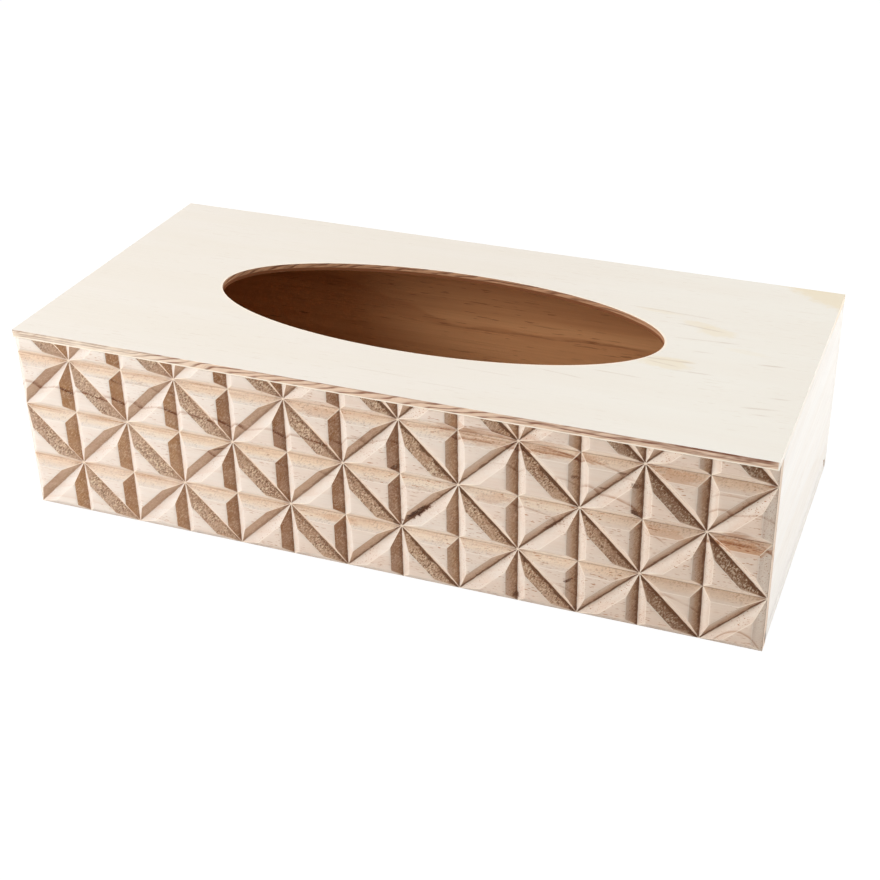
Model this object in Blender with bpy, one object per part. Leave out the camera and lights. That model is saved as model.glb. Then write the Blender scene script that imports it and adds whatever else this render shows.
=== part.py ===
"""Wooden tissue box cover: carved front, oval slot in the top, slide-out base.

Units are metres, +Z is up, the carved front faces -Y and the origin is the
middle of the footprint at the height of the table. The base slides out
along +X, under the shortened right-hand wall.
"""
import math

import bmesh
import bpy
from mathutils import Matrix, Vector

# Carving of the front panel: a lattice of cells, each cut by one diagonal
COLUMNS = 13
COLUMN_PITCH = 0.0210
ROW_PITCH = 0.0209
CUT_HALF_WIDTH = 0.0034
CUT_DEPTH = 0.0031

# Boards of the cover
BODY_DEPTH = 0.1270
WALL_HEIGHT = 0.0699
FRONT_THICKNESS = 0.0080
BACK_THICKNESS = 0.0050
END_WALL_THICKNESS = 0.0080
TOP_THICKNESS = 0.0030
TOP_LEFT_SETBACK = 0.0015

# Slot for the tissues, cut a little behind the middle
SLOT_LENGTH = 0.1682
SLOT_WIDTH = 0.0672
SLOT_BACKWARD = 0.0004
SLOT_SEGMENTS = 72

# Sliding base, its end strip and the grooves that it runs in
BASE_THICKNESS = 0.0030
BASE_LIFT = 0.0018
RUNNER_DEPTH = 0.0025
RUNNER_SIDE_CLEARANCE = 0.0004
STRIP_HEIGHT = 0.0054
STRIP_LIP = 0.0030
STRIP_END_GAP = 0.0006
STRIP_LIFT = 0.0003
RIGHT_WALL_LIFT = 0.0060

# Fits
GLUE_GAP = 0.0003
RUNNER_CLEARANCE = 0.0003
CUT_OVERRUN = 0.0020

# Worked out from the sizes above
BODY_WIDTH = COLUMNS * COLUMN_PITCH
FRONT_FACE_Y = -BODY_DEPTH / 2
FRONT_REAR_Y = FRONT_FACE_Y + FRONT_THICKNESS
BACK_FACE_Y = BODY_DEPTH / 2
BACK_INNER_Y = BACK_FACE_Y - BACK_THICKNESS
LEFT_FACE_X = -BODY_WIDTH / 2
LEFT_INNER_X = LEFT_FACE_X + END_WALL_THICKNESS
RIGHT_FACE_X = BODY_WIDTH / 2
RIGHT_INNER_X = RIGHT_FACE_X - END_WALL_THICKNESS
BASE_TOP_Z = BASE_LIFT + BASE_THICKNESS
RUNNER_LOW_Z = BASE_LIFT - RUNNER_CLEARANCE
RUNNER_HIGH_Z = BASE_TOP_Z + RUNNER_CLEARANCE

# Wood colours, linear RGB, with roughness
PINE = ((0.80, 0.64, 0.47, 1.0), 0.62)
CARVED_PINE = ((0.78, 0.60, 0.43, 1.0), 0.66)
BIRCH_PLY = ((0.86, 0.78, 0.65, 1.0), 0.55)


def clear_scene():
    for old in list(bpy.data.objects):
        bpy.data.objects.remove(old, do_unlink=True)


def wood_material(name, finish):
    colour, roughness = finish
    material = bpy.data.materials.new(name)
    material.use_nodes = True
    shader = material.node_tree.nodes["Principled BSDF"]
    shader.inputs["Base Color"].default_value = colour
    shader.inputs["Roughness"].default_value = roughness
    shader.inputs["Metallic"].default_value = 0.0
    material.diffuse_color = colour
    return material


def add_object(name, shape, material=None):
    """Turn a bmesh into a named object and free the bmesh."""
    bmesh.ops.recalc_face_normals(shape, faces=shape.faces)
    mesh = bpy.data.meshes.new(name)
    shape.to_mesh(mesh)
    shape.free()
    piece = bpy.data.objects.new(name, mesh)
    bpy.context.scene.collection.objects.link(piece)
    if material is not None:
        mesh.materials.append(material)
    return piece


def block(low, high):
    """A rectangular board between two corners."""
    low = Vector(low)
    high = Vector(high)
    size = high - low
    shape = bmesh.new()
    place = Matrix.Translation((low + high) / 2) @ Matrix.Diagonal((*size, 1.0))
    bmesh.ops.create_cube(shape, size=1.0, matrix=place)
    return shape


def cut_away(piece, name, cutter_shape):
    """Take a cutter's volume out of a board with a live Boolean."""
    cutter = add_object(name, cutter_shape)
    cutter.hide_render = True
    cutter.display_type = "WIRE"
    cutter.parent = piece
    boolean = piece.modifiers.new(name, "BOOLEAN")
    boolean.operation = "DIFFERENCE"
    boolean.solver = "EXACT"
    boolean.object = cutter


def carved_face():
    """Open mesh of the carved face: truncated triangles between V-cuts.

    Cuts run along every column line and every row line, and along one
    diagonal of each cell, the one that joins the two corners where the
    column and row numbers add up to an even number. Eight cuts meet in
    those corners and four in the others.
    """
    rows = math.ceil(WALL_HEIGHT / ROW_PITCH)
    valley_y = FRONT_FACE_Y + CUT_DEPTH
    shape = bmesh.new()
    corners = {}
    for column in range(COLUMNS + 1):
        for row in range(rows + 1):
            place = (LEFT_FACE_X + column * COLUMN_PITCH, valley_y, row * ROW_PITCH)
            corners[column, row] = shape.verts.new(place)
    for column in range(COLUMNS):
        for row in range(rows):
            low_left = corners[column, row]
            low_right = corners[column + 1, row]
            high_left = corners[column, row + 1]
            high_right = corners[column + 1, row + 1]
            if (column + row) % 2 == 0:
                shape.faces.new((low_left, low_right, high_right))
                shape.faces.new((low_left, high_right, high_left))
            else:
                shape.faces.new((low_left, low_right, high_left))
                shape.faces.new((low_right, high_right, high_left))
    shape.normal_update()
    bmesh.ops.inset_individual(
        shape,
        faces=shape.faces[:],
        thickness=CUT_HALF_WIDTH,
        depth=CUT_DEPTH,
        use_even_offset=True,
    )
    trim = shape.verts[:] + shape.edges[:] + shape.faces[:]
    bmesh.ops.bisect_plane(
        shape,
        geom=trim,
        plane_co=(0, 0, WALL_HEIGHT),
        plane_no=(0, 0, 1),
        clear_outer=True,
    )
    return shape


def runner_block(near_y, far_y):
    """Cutter for a groove along the whole length of a long board."""
    low = (LEFT_FACE_X - CUT_OVERRUN, near_y, RUNNER_LOW_Z)
    high = (RIGHT_FACE_X + CUT_OVERRUN, far_y, RUNNER_HIGH_Z)
    return block(low, high)


def make_front_panel():
    """Carved face swept back to a flat rear face, with the base's groove."""
    shape = carved_face()
    rim = [edge for edge in shape.edges if edge.is_boundary]
    swept = bmesh.ops.extrude_edge_only(shape, edges=rim)["geom"]
    for vertex in swept:
        if isinstance(vertex, bmesh.types.BMVert):
            vertex.co.y = FRONT_REAR_Y
    rear_rim = [edge for edge in shape.edges if edge.is_boundary]
    bmesh.ops.contextual_create(shape, geom=rear_rim)
    panel = add_object("front_panel", shape, wood_material("carved_pine", CARVED_PINE))
    groove_floor_y = FRONT_REAR_Y - RUNNER_DEPTH
    cut_away(panel, "front_runner", runner_block(groove_floor_y, FRONT_REAR_Y + CUT_OVERRUN))
    return panel


def make_back_panel():
    shape = block(
        (LEFT_FACE_X, BACK_INNER_Y, 0),
        (RIGHT_FACE_X, BACK_FACE_Y, WALL_HEIGHT),
    )
    panel = add_object("back_panel", shape, wood_material("back_pine", PINE))
    groove_floor_y = BACK_INNER_Y + RUNNER_DEPTH
    cut_away(panel, "back_runner", runner_block(BACK_INNER_Y - CUT_OVERRUN, groove_floor_y))
    return panel


def make_left_wall():
    """End wall with the groove that the base stops in."""
    near_y = FRONT_REAR_Y + GLUE_GAP
    far_y = BACK_INNER_Y - GLUE_GAP
    shape = block((LEFT_FACE_X, near_y, 0), (LEFT_INNER_X, far_y, WALL_HEIGHT))
    wall = add_object("left_wall", shape, wood_material("left_pine", PINE))
    stop_groove = block(
        (LEFT_INNER_X - RUNNER_DEPTH, near_y - CUT_OVERRUN, RUNNER_LOW_Z),
        (LEFT_INNER_X + CUT_OVERRUN, far_y + CUT_OVERRUN, RUNNER_HIGH_Z),
    )
    cut_away(wall, "left_stop_groove", stop_groove)
    return wall


def make_right_wall():
    """End wall that stops short of the table, so that the base passes under it."""
    near_y = FRONT_REAR_Y + GLUE_GAP
    far_y = BACK_INNER_Y - GLUE_GAP
    shape = block(
        (RIGHT_INNER_X, near_y, RIGHT_WALL_LIFT),
        (RIGHT_FACE_X, far_y, WALL_HEIGHT),
    )
    return add_object("right_wall", shape, wood_material("right_pine", PINE))


def oval_post(length, width, low_z, high_z):
    """Elliptical post for the slot, near the middle of the top."""
    shape = bmesh.new()
    place = Matrix.Translation((0, SLOT_BACKWARD, (low_z + high_z) / 2))
    place = place @ Matrix.Diagonal((length / 2, width / 2, high_z - low_z, 1.0))
    bmesh.ops.create_cone(
        shape,
        cap_ends=True,
        segments=SLOT_SEGMENTS,
        radius1=1.0,
        radius2=1.0,
        depth=1.0,
        matrix=place,
    )
    return shape


def make_top_panel():
    """Top with the slot; it stops a little short of the left end."""
    low_z = WALL_HEIGHT + GLUE_GAP
    high_z = low_z + TOP_THICKNESS
    left_x = LEFT_FACE_X + TOP_LEFT_SETBACK
    shape = block((left_x, FRONT_FACE_Y, low_z), (RIGHT_FACE_X, BACK_FACE_Y, high_z))
    panel = add_object("top_panel", shape, wood_material("top_ply", BIRCH_PLY))
    post = oval_post(SLOT_LENGTH, SLOT_WIDTH, low_z - CUT_OVERRUN, high_z + CUT_OVERRUN)
    cut_away(panel, "slot_post", post)
    return panel


def make_sliding_base(slide):
    """Plywood board held by its edges in the grooves of three walls."""
    near_y = FRONT_REAR_Y - RUNNER_DEPTH + RUNNER_SIDE_CLEARANCE
    far_y = BACK_INNER_Y + RUNNER_DEPTH - RUNNER_SIDE_CLEARANCE
    left_x = LEFT_INNER_X - RUNNER_DEPTH + RUNNER_SIDE_CLEARANCE
    right_x = RIGHT_FACE_X - STRIP_LIP - GLUE_GAP
    shape = block((left_x, near_y, BASE_LIFT), (right_x, far_y, BASE_TOP_Z))
    base = add_object("sliding_base", shape, wood_material("base_ply", BIRCH_PLY))
    base.parent = slide
    return base


def make_base_end_strip(slide):
    """Rebated strip: the board's end lies in the step, behind the outer lip."""
    step_x = RIGHT_FACE_X - STRIP_LIP
    step_z = BASE_LIFT - GLUE_GAP
    outline = [
        (RIGHT_INNER_X, STRIP_LIFT),
        (RIGHT_FACE_X, STRIP_LIFT),
        (RIGHT_FACE_X, STRIP_HEIGHT),
        (step_x, STRIP_HEIGHT),
        (step_x, step_z),
        (RIGHT_INNER_X, step_z),
    ]
    near_y = FRONT_REAR_Y + STRIP_END_GAP
    far_y = BACK_INNER_Y - STRIP_END_GAP
    shape = bmesh.new()
    profile = shape.faces.new([shape.verts.new((x, near_y, z)) for x, z in outline])
    swept = bmesh.ops.extrude_face_region(shape, geom=[profile])["geom"]
    far_end = [item for item in swept if isinstance(item, bmesh.types.BMVert)]
    bmesh.ops.translate(shape, verts=far_end, vec=(0, far_y - near_y, 0))
    strip = add_object("base_end_strip", shape, wood_material("strip_pine", PINE))
    strip.parent = slide
    return strip


def make_slide():
    """Empty that carries the moving base, on the line that it slides along."""
    slide = bpy.data.objects.new("base_slide", None)
    bpy.context.scene.collection.objects.link(slide)
    return slide


def main():
    clear_scene()
    make_front_panel()
    make_back_panel()
    make_left_wall()
    make_right_wall()
    make_top_panel()
    slide = make_slide()
    make_sliding_base(slide)
    make_base_end_strip(slide)


main()
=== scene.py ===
"""Looks of a wooden tissue box cover: V-carved pine front, plywood top with
an oval slot, plain pine walls and a plywood base that slides out.

Metres, +Z up, the carved front faces -Y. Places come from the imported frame.
"""

import math

import bmesh
import bpy
from mathutils import Matrix, Vector, noise


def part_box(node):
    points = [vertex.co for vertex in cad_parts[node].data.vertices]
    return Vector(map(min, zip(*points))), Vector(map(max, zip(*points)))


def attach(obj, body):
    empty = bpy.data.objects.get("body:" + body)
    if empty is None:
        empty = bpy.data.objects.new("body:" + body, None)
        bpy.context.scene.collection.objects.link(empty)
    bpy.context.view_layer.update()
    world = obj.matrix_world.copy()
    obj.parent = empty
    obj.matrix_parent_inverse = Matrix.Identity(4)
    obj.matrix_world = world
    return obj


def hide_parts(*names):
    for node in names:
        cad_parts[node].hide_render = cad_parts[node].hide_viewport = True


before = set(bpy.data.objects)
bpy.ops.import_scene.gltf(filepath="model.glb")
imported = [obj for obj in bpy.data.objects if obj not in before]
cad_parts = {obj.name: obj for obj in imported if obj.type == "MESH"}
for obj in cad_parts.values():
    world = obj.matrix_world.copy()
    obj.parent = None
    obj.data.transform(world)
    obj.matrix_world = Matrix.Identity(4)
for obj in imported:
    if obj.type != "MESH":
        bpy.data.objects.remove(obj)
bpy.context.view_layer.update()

# Carving of the front panel
COLUMNS = 13
ROW_PITCH = 0.0209
CUT_HALF_WIDTH = 0.0034
CUT_DEPTH = 0.0031
SIDE_STEPS = 20
# Across one wall of a cut: share of its half width, share of its depth
CUT_PROFILE_SHARES = (
    (0.0, 0.985),
    (0.04, 0.957),
    (0.17, 0.83),
    (0.30, 0.70),
    (0.43, 0.57),
    (0.56, 0.44),
    (0.69, 0.31),
    (0.82, 0.18),
    (0.95, 0.055),
    (1.0, 0.018),
    (1.05, 0.0),
)
# Extra points near each corner of a triangle, where two walls meet in a ridge
RIDGE_SHARES = (0.008, 0.024)
# How the cutter leaves each wall, and how it is shaded, by the way that it
# faces (x, z): how much painted shade darkens it at the left and at the right
# end, on walls turned from the light; how torn its grain is; how much of the
# warm early wood it shows; how much painted light brightens it, on walls
# turned to the light
WALL_FINISH_SHARES = {
    (1, 0): (1.0, 0.90, 0.35, 0.0, 0.0),
    (1, 1): (0.63, 0.84, 1.0, 0.0, 0.0),
    (1, -1): (0.70, 0.70, 0.20, 0.0, 0.0),
    (0, 1): (0.0, 0.04, 0.30, 1.0, 0.0),
    (0, -1): (0.0, 0.0, 0.10, 0.75, 0.7),
    (-1, 0): (0.0, 0.0, 0.05, 0.0, 0.4),
    (-1, 1): (0.0, 0.0, 0.0, 0.0, 0.5),
    (-1, -1): (0.07, 0.02, 0.05, 1.0, 0.9),
}
# Finishes of the half cuts at the open right end and along the lower edge, with the same shares; the last
# is painted light
OPEN_END_FINISH_SHARES = (0.0, 0.0, 0.1, 0.3, 0.4)
LOWER_EDGE_FINISH_SHARES = (0.0, 0.0, 0.1, 0.0, 0.6)
# How far the painted shade of a star reaches along its cuts
STAR_REACH = 0.0036
# Share of a wall, next to a ridge, over which its torn grain sets in
RIDGE_FADE = 1 / 12
TEAR_DEPTH = 0.00016
TEAR_SIZE = (0.0016, 0.0011)
# Roughness, step between sizes and number of sizes of the torn grain
TEAR_FRACTAL = (0.9, 2.1, 3)
ARRIS_CHIP = 0.00006
CHIP_SIZE = 0.003
# A knock counts within this share of the half width from the arris
CHIP_BAND = 0.1

MM = 0.001

# Points closer than this are one, or lie on one edge
CARVING_WELD = 2e-6
BOARD_WELD = 1e-6
RIM_SLACK = 1e-5

# Boards
FLAT_ANGLE = math.radians(1)
SHARP_ANGLE = 0.5
EDGE_EASE = 0.0004
PLY_EDGE_EASE = 0.00012
GLUE_LINE = 0.00027
SLOT_LENGTH = 0.1682
SLOT_WIDTH = 0.0672
SLOT_BACKWARD = 0.0004
SLOT_STEPS = 240
SAWN_STEPS = 8
# Saw marks: their depth, their number on each half of the board, their height
SAW_MARK_DEPTH = 0.00012
SAW_MARKS = 40
SAW_MARK_HEIGHT = 0.0006
# How far the unplaned inner faces stay clear of a board's outer faces
SKIN = 0.0002
# Room between the edges of the base and the floors of its grooves
GROOVE_PLAY = 0.0004

# Camera of the photograph
CAMERA_PLACE = (0.19199, -0.47158, 0.31526)
CAMERA_AIM = (0.02329, -0.01063, 0.0350)
CAMERA_ROLL = math.radians(-0.256)
CAMERA_LENS_MM = 64.0
# The photograph is cropped: its middle is off the lens axis, in picture widths
CAMERA_SHIFT = (-0.0527, -0.0135)
SENSOR_MM = 36.0


# Node helpers


def feed(socket, value):
    """Link a socket to another, or give it a plain value or colour."""
    if isinstance(value, bpy.types.NodeSocket):
        socket.id_data.links.new(value, socket)
    elif socket.type == "RGBA":
        socket.default_value = (*value, 1.0)
    else:
        socket.default_value = value


def put(tree, kind, inputs=None, **settings):
    """Add a node; inputs takes plain values or the sockets to link."""
    node = tree.nodes.new(kind)
    for name, value in settings.items():
        setattr(node, name, value)
    for name, value in (inputs or {}).items():
        feed(node.inputs[name], value)
    return node


def tree_of(values):
    """The node tree of the first socket among some values."""
    return next(v for v in values if isinstance(v, bpy.types.NodeSocket)).id_data


def put_after(kind, inputs, **settings):
    """Add a node to the tree that its inputs come from."""
    return put(tree_of(inputs.values()), kind, inputs, **settings)


def sums(operation, *values):
    """A Math node on one to three numbers or sockets."""
    return put_after("ShaderNodeMath", dict(enumerate(values)), operation=operation).outputs[0]


def times(first, *others):
    """Product of numbers and sockets."""
    for other in others:
        first = sums("MULTIPLY", first, other)
    return first


def plus(one, other):
    """One value and another."""
    return sums("ADD", one, other)


def minus(one, other):
    """One value less another."""
    return sums("SUBTRACT", one, other)


def over(one, other):
    """One value divided by another."""
    return sums("DIVIDE", one, other)


def largest(first, *others):
    """The largest of some values."""
    for other in others:
        first = sums("MAXIMUM", first, other)
    return first


def grow(value, by, start):
    """A start plus so much of a value."""
    return sums("MULTIPLY_ADD", value, by, start)


def fade(value, low, high, start=0.0, end=1.0):
    """Smooth step of a value from one level to another."""
    inputs = {"Value": value, "From Min": low, "From Max": high, "To Min": start, "To Max": end}
    node = put_after("ShaderNodeMapRange", inputs, interpolation_type="SMOOTHSTEP")
    return node.outputs["Result"]


def vectors(operation, *values):
    """A Vector Math node on one or two places; a length is a number."""
    node = put_after("ShaderNodeVectorMath", dict(enumerate(values)), operation=operation)
    return node.outputs["Value" if operation == "LENGTH" else "Vector"]


def split(place):
    """X, Y and Z of a place."""
    return put_after("ShaderNodeSeparateXYZ", {0: place}).outputs


def join(x=0.0, y=0.0, z=0.0):
    """A place from its X, Y and Z."""
    return put_after("ShaderNodeCombineXYZ", {0: x, 1: y, 2: z}).outputs[0]


def turned(place, angle):
    """A place turned about Y."""
    inputs = {"Vector": place, "Angle": angle}
    return put_after("ShaderNodeVectorRotate", inputs, rotation_type="Y_AXIS").outputs[0]


def cloud(place, size, detail=2.0, roughness=0.5):
    """Noise with cells of the given size along X, Y and Z, in metres."""
    inputs = {
        "Vector": vectors("DIVIDE", place, size),
        "Scale": 1.0,
        "Detail": detail,
        "Roughness": roughness,
    }
    return put_after("ShaderNodeTexNoise", inputs).outputs["Fac"]


def tint(base, colour, amount, blend="MIX"):
    """Lay a colour over another by an amount."""
    values = {"Factor_Float": amount, "A_Color": base, "B_Color": colour}
    tree = tree_of(values.values())
    node = put(tree, "ShaderNodeMix", data_type="RGBA", blend_type=blend)
    for socket in node.inputs:
        if socket.identifier in values:
            feed(socket, values[socket.identifier])
    return next(s for s in node.outputs if s.identifier == "Result_Color")


def layers(colour, *others):
    """Lay colours over one another, each with its amount."""
    for other, amount in others:
        colour = tint(colour, other, amount)
    return colour


def new_group(name, inputs, outputs):
    """A shader node group; gives its inputs and its exit.

    A number makes a plain input; three numbers, or None, make a place or size.
    """
    group = bpy.data.node_groups.new(name, "ShaderNodeTree")
    for label, value in inputs.items():
        kind = "NodeSocketFloat" if isinstance(value, float) else "NodeSocketVector"
        socket = group.interface.new_socket(label, in_out="INPUT", socket_type=kind)
        if value is not None:
            socket.default_value = value
    for label in outputs:
        group.interface.new_socket(label, in_out="OUTPUT", socket_type="NodeSocketFloat")
    return group.nodes.new("NodeGroupInput").outputs, group.nodes.new("NodeGroupOutput")


def give(leave, **values):
    """Link a group's outputs, with underscores for spaces; gives the group."""
    for name, value in values.items():
        feed(leave.inputs[name.replace("_", " ")], value)
    return leave.id_data


def place_group(group, **inputs):
    """Place a group in a material; input names have underscores for spaces."""
    named = {name.replace("_", " "): value for name, value in inputs.items()}
    return put_after("ShaderNodeGroup", named, node_tree=group).outputs


# Wood effects


def growth_rings_group():
    """Latewood of a softwood log whose pith runs along X."""
    inputs = {"Place": None, "Pith Y": 0.0, "Pith Z": 0.0, "Ring Width": 0.005, "Wander": 0.006}
    ins, leave = new_group("growth rings", inputs, ["Latewood"])
    axes = split(ins["Place"])
    bend = minus(cloud(ins["Place"], (0.16, 0.05, 0.05), detail=3.0), 0.5)
    across, up = minus(axes[1], ins["Pith Y"]), minus(axes[2], ins["Pith Z"])
    radius = sums("SQRT", plus(times(across, across), times(up, up)))
    turn = over(plus(radius, times(bend, ins["Wander"])), ins["Ring Width"])
    ring = {"W": sums("FLOOR", turn)}
    tone = put_after("ShaderNodeTexWhiteNoise", ring, noise_dimensions="1D").outputs["Value"]
    part = sums("FRACT", turn)
    late = times(sums("POWER", part, 4.0), fade(part, 0.94, 1.0, 1.0, 0.0), grow(tone, 0.85, 0.15))
    return give(leave, Latewood=late)


# What describes a growth line besides its place; growth_line gives all of it
GRAIN_LINE_INPUTS = (
    "Height", "Slope", "Bow", "Middle", "Dip", "Face", "Width", "Start", "End", "Tail", "Wobble", "Patchy"
)


def grain_line_group():
    """One dark growth line across a board, shifting with depth in the cuts."""
    inputs = {"Place": None, **dict.fromkeys(GRAIN_LINE_INPUTS, 0.0)}
    ins, leave = new_group("grain line", inputs, ["Mask"])
    axes = split(ins["Place"])
    along = minus(axes[0], ins["Middle"])
    height = plus(grow(along, ins["Slope"], ins["Height"]), times(along, along, ins["Bow"]))
    height = minus(height, times(minus(axes[1], ins["Face"]), ins["Dip"]))
    off = minus(axes[2], plus(height, ins["Wobble"]))
    # Latewood ends sharply below and fades out slowly above
    above = over(off, times(ins["Width"], 3.0))
    below = over(off, ins["Width"])
    mask = times(
        fade(above, 0.0, 1.0, 1.0, 0.0),
        fade(below, -1.0, 0.0),
        fade(minus(axes[0], ins["Start"]), 0.0, ins["Tail"]),
        fade(minus(ins["End"], axes[0]), 0.0, ins["Tail"]),
        ins["Patchy"],
    )
    return give(leave, Mask=mask)


def unevenness_group():
    """How growth lines stray and fade, and how ragged the patches are."""
    inputs = {"Place": None, "Stray": 0.0014}
    ins, leave = new_group("grain unevenness", inputs, ["Wobble", "Patchy", "Ragged"])
    wobble = cloud(ins["Place"], (0.016, 0.01, 0.03), detail=3.0)
    patchy = cloud(ins["Place"], (0.007, 0.004, 0.004))
    ragged = cloud(ins["Place"], (0.0035, 0.0035, 0.0009), detail=3.0, roughness=0.65)
    return give(
        leave,
        Wobble=times(minus(wobble, 0.5), ins["Stray"]),
        Patchy=fade(patchy, 0.25, 0.6, 0.35, 1.0),
        Ragged=times(minus(ragged, 0.5), 2.2),
    )


def inner_faces_group():
    """1 on the faces that lie between two corners, such as the inner faces."""
    inputs = {"Place": None, "Low": None, "High": None}
    ins, leave = new_group("inner faces", inputs, ["Inside"])
    above = vectors("SUBTRACT", ins["Place"], ins["Low"])
    below = vectors("SUBTRACT", ins["High"], ins["Place"])
    axes = split(vectors("MINIMUM", above, below))
    least = sums("MINIMUM", sums("MINIMUM", axes[0], axes[1]), axes[2])
    return give(leave, Inside=fade(least, 0.0, 0.0001))


def patch_group():
    """A ragged oval patch of other wood on a board's front."""
    inputs = {
        "Place": None,
        "Middle": (0.0, 0.0, 0.0),
        "Turn": 0.0,
        "Size": (0.005, 1.0, 0.001),
        "Ragged": 0.0,
    }
    ins, leave = new_group("wood patch", inputs, ["Mask"])
    off = vectors("SUBTRACT", ins["Place"], ins["Middle"])
    flat = vectors("MULTIPLY", turned(off, ins["Turn"]), (1.0, 0.0, 1.0))
    reach = vectors("LENGTH", vectors("DIVIDE", flat, ins["Size"]))
    return give(leave, Mask=fade(plus(reach, ins["Ragged"]), 1.15, 0.55))


def fibres_group():
    """Fine streaks along X and the broader bands under them."""
    inputs = {"Place": None, "Streak Size": (0.03, 0.0006, 0.0006), "Band Size": (0.12, 0.006, 0.006)}
    ins, leave = new_group("wood fibres", inputs, ["Streaks", "Bands"])
    streaks = cloud(ins["Place"], ins["Streak Size"], detail=4.0, roughness=0.6)
    bands = cloud(ins["Place"], ins["Band Size"])
    return give(leave, Streaks=fade(streaks, 0.3, 0.7), Bands=fade(bands, 0.3, 0.7))


def flecks_group():
    """Short dark dashes along X, gathered in patches."""
    inputs = {
        "Place": None,
        "Fleck Size": (0.004, 0.0005, 0.0005),
        "Patch Size": (0.03, 0.012, 0.012),
        "Level": 0.66,
    }
    ins, leave = new_group("resin flecks", inputs, ["Flecks"])
    dash = cloud(ins["Place"], ins["Fleck Size"], detail=1.0)
    dash = fade(minus(dash, ins["Level"]), 0.0, 0.06)
    patch = fade(cloud(ins["Place"], ins["Patch Size"], detail=1.0), 0.36, 0.58)
    return give(leave, Flecks=times(dash, patch))


def torn_grain_group():
    """Dark pits and light raised fibres where the cutter tore the wood."""
    inputs = {"Place": None, "Amount": 0.0, "Turn": 0.8, "Pit Size": (0.00090, 0.0006, 0.00046)}
    ins, leave = new_group("torn grain", inputs, ["Pits", "Raised", "Height"])
    place = turned(ins["Place"], ins["Turn"])
    grit = cloud(place, ins["Pit Size"], detail=1.0)
    where = fade(cloud(place, (0.007, 0.004, 0.004)), 0.3, 0.58, 0.35, 1.0)
    amount = times(ins["Amount"], where)
    return give(
        leave,
        Pits=times(fade(grit, 0.44, 0.34), amount),
        Raised=times(fade(grit, 0.53, 0.62), amount),
        Height=times(minus(grit, 0.5), amount),
    )


def ply_edge_group():
    """Growth lines of the core that climb the sawn edges of a plywood board."""
    inputs = {
        "Place": None,
        "Bottom": 0.0,
        "Thickness": 0.003,
        "Slope": 0.15,
        "Curve": 0.3,
        "Spacing": 0.0017,
    }
    ins, leave = new_group("plywood edge", inputs, ["Level", "Strokes", "Fine Strokes"])
    axes = split(ins["Place"])
    level = over(minus(axes[2], ins["Bottom"]), ins["Thickness"])
    # The run goes on round the corners from the long edges to the short ones
    run = grow(axes[1], 0.9, axes[0])
    climb = minus(ins["Slope"], times(run, ins["Curve"]))
    across = over(minus(axes[2], times(run, climb)), ins["Spacing"])
    along = join(run, axes[2])
    across = grow(cloud(along, (0.024, 0.005, 1.0)), 2.6, across)
    part = sums("FRACT", across)
    heavy = cloud(along, (0.007, 0.004, 1.0), detail=1.0)
    strokes = times(
        fade(part, 0.0, 0.12),
        fade(part, 0.14, 0.50, 0.92, 0.0),
        fade(heavy, 0.35, 0.55, 0.5, 1.0),
    )
    fine = cloud(join(run, across), (0.006, 0.22, 1.0), roughness=0.6)
    return give(leave, Level=level, Strokes=strokes, Fine_Strokes=fade(fine, 0.45, 0.7))


GROWTH_RINGS = growth_rings_group()
GRAIN_LINE = grain_line_group()
UNEVENNESS = unevenness_group()
INNER_FACES = inner_faces_group()
PATCH = patch_group()
FIBRES = fibres_group()
FLECKS = flecks_group()
TORN_GRAIN = torn_grain_group()
PLY_EDGE = ply_edge_group()


# Materials

WOOD_SPECULAR = 0.25


def new_wood(name):
    """A material with its Principled shader; gives both and the place."""
    material = bpy.data.materials.new(name)
    material.use_nodes = True
    shader = material.node_tree.nodes["Principled BSDF"]
    feed(shader.inputs["Specular IOR Level"], WOOD_SPECULAR)
    place = put(material.node_tree, "ShaderNodeTexCoord").outputs["Object"]
    return material, shader, place


def mesh_mark(place, name):
    """A number that the mesh carries at each place."""
    return put(place.id_data, "ShaderNodeAttribute", attribute_name=name).outputs["Fac"]


def finish_wood(shader, colour, roughness, height, relief):
    """Link colour, roughness and bumps to the shader; the relief is in metres."""
    bump = put_after("ShaderNodeBump", {"Height": height, "Distance": relief, "Strength": 1.0})
    feed(shader.inputs["Base Color"], colour)
    feed(shader.inputs["Roughness"], roughness)
    feed(shader.inputs["Normal"], bump.outputs["Normal"])


# Growth lines of the carved panel in millimetres: height at the middle, slope
# in mm per 100 mm, bow in mm at 100 mm from the middle, middle, width, start,
# end; then the strength
PANEL_LINES = (
    (53.1, -2, 0, -136, 0.42, -200, -12, 1),
    (54, 20, 0, -4, 0.4, -16, 14, 0.6),
    (66.4, 0, -35, 42, 0.4, 14, 80, 1),
    (64.6, -3, 0, 46, 0.35, 20, 74, 0.8),
    (62.7, 0, 0, 50, 0.6, 26, 76, 1),
    (61.5, -35, 0, 82, 0.45, 72, 97, 0.8),
    (54.6, -9, 0, 55, 0.35, 42, 76, 0.45),
    (53.3, -25, -40, 74, 0.45, 72, 97, 0.8),
    (58.1, 0, 0, 122, 0.3, 114, 130, 0.5),
    (52.8, 2, 0, 125, 0.35, 112, 140, 0.6),
    (45.2, 0, -346, 125.5, 0.4, 114, 138, 0.8),
    (41.6, 0, 0, 127, 0.6, 112, 140, 1),
    (37.6, -60, 0, 100.5, 0.3, 96, 105, 0.8),
    (39.2, -24, 0, 60, 0.35, 48, 72, 0.7),
    (8, 0, -800, 128, 0.4, 117, 140, 0.7),
    (11.5, -25, 0, 69, 0.4, 58, 78, 0.6),
    (17, -28, 0, 102, 0.38, 92, 117, 0.6),
    (38, 5, 0, -60, 0.3, -68, -52, 0.8),
    (60, -2, 0, -88, 0.4, -106, -70, 0.5),
    (39, 1, 0, -20, 0.4, -50, 30, 0.35),
)
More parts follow.
